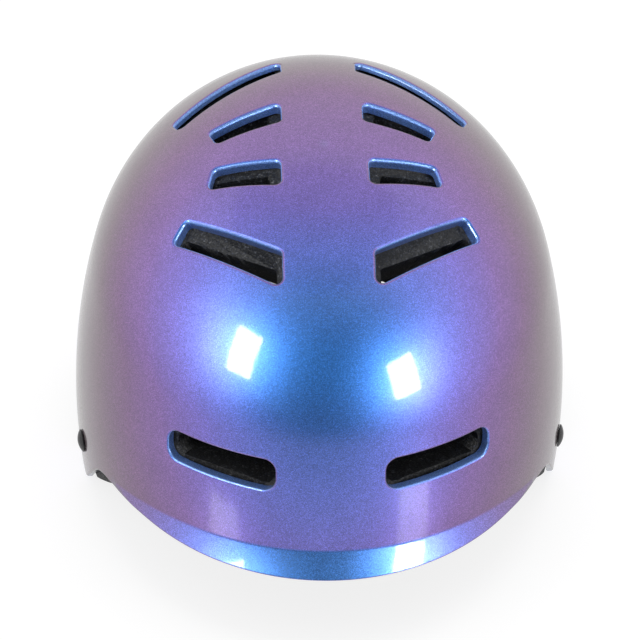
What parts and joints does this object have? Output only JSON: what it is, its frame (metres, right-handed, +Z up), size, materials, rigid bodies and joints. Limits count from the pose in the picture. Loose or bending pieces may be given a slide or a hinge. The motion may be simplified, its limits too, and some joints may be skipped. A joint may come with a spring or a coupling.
{
  "type": "skateboard helmet",
  "caption": "Hard-shell skateboard helmet with a flared brow lip, slot vents, foam liner, comfort pads and a webbing chin strap with a side-release buckle.",
  "frame": {"origin": "on the table under the middle of the helmet, halfway between brow lip and nape", "axes": "+Z up, -Y out of the brow, +X to the right of a viewer who looks at the brow"},
  "size_m": [0.218, 0.2752, 0.1677],
  "materials": {
    "flake_paint": "gloss, violet to teal-blue metallic flake paint under clear coat",
    "foam": "matte, moulded bead foam with grey specks",
    "pad_fabric": "matte knitted cover over soft foam",
    "webbing": "matte ribbed nylon webbing",
    "buckle_plastic": "satin fine-textured moulding",
    "rivet_black": "semi-gloss black",
    "washer_steel": "satin",
    "hook_tape": "matte hook tape"
  },
  "bodies": {
    "helmet": {"outer_shell": "flake_paint", "foam_liner": "foam", "brow_pad": "pad_fabric", "nape_pad": "pad_fabric", "left_side_pad": "pad_fabric", "right_side_pad": "pad_fabric", "crown_pad": "pad_fabric", "pad_hook_dots": "hook_tape", "front_strap_rivets": "rivet_black", "rear_strap_rivets": "rivet_black", "front_rivet_washers": "washer_steel", "rear_rivet_washers": "washer_steel", "left_front_strap": "webbing", "right_front_strap": "webbing", "left_rear_strap": "webbing", "right_rear_strap": "webbing", "left_strap_divider": "buckle_plastic", "right_strap_divider": "buckle_plastic", "left_chin_strap": "webbing", "buckle_socket": "buckle_plastic"},
    "plug": {"buckle_plug": "buckle_plastic", "right_chin_strap": "webbing"},
    "front_latch": {"front_latch_arm": "buckle_plastic"},
    "rear_latch": {"rear_latch_arm": "buckle_plastic"},
    "keeper": {"strap_keeper": "buckle_plastic"}
  },
  "joints": [
    {"name": "buckle_slide", "type": "slide", "parent": "helmet", "child": "plug", "axis": [1, 0, 0], "range_m": [0, 0.022], "deforming": ["right_chin_strap", "front_latch_arm", "rear_latch_arm"]},
    {"name": "front_latch_press", "type": "hinge", "parent": "plug", "child": "front_latch", "pos_m": [0.0102, 0.018, 0.045], "axis": [0, 0, -1], "range_deg": [0, 12], "stiffness_Nm_per_rad": 0.06},
    {"name": "rear_latch_press", "type": "hinge", "parent": "plug", "child": "rear_latch", "pos_m": [0.0102, 0.0322, 0.045], "axis": [0, 0, 1], "range_deg": [0, 12], "stiffness_Nm_per_rad": 0.06},
    {"name": "keeper_slide", "type": "slide", "parent": "plug", "child": "keeper", "axis": [0, 0, 1], "range_m": [-0.008, 0.008]}
  ],
  "couplings": [
    {"joint": "rear_latch_press", "follows": "front_latch_press", "ratio": 1}
  ]
}
